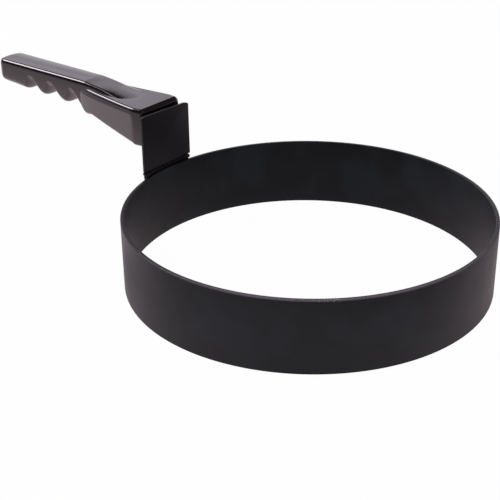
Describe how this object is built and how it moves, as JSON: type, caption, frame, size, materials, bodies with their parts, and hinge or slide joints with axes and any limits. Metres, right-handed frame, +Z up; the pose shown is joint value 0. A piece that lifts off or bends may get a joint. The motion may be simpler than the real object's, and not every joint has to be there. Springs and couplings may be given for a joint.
{
  "type": "egg ring",
  "caption": "Round non-stick steel ring with an upright welded tab and a moulded finger-grip handle, for shaping eggs on a griddle.",
  "frame": {"origin": "centre of the bounding box in X and Y, on the plane the ring's lower rim rests on", "axes": "+Z up along the ring's axis; the handle points along -X; the ring's axis is at x = 0.0658"},
  "size_m": [0.3316, 0.2, 0.0849],
  "materials": {
    "nonstick_coated_steel": "satin black non-stick coating on steel",
    "nonstick_coated_tab": "satin black non-stick coating on steel",
    "nonstick_coated_weld": "coated weld bead",
    "blackened_steel": "blackened steel",
    "gloss_phenolic": "glossy moulded phenolic",
    "zinc_plated_steel": "bright zinc plate",
    "spring_steel": "oiled spring steel"
  },
  "bodies": {
    "root": {"ring_band": "nonstick_coated_steel", "tab_plate": "nonstick_coated_tab", "rim_weld": "nonstick_coated_weld", "handle_tang": "blackened_steel", "tang_weld_left": "nonstick_coated_weld", "tang_weld_right": "nonstick_coated_weld", "handle": "gloss_phenolic", "handle_screw": "zinc_plated_steel", "lock_washer": "spring_steel"}
  },
  "joints": []
}
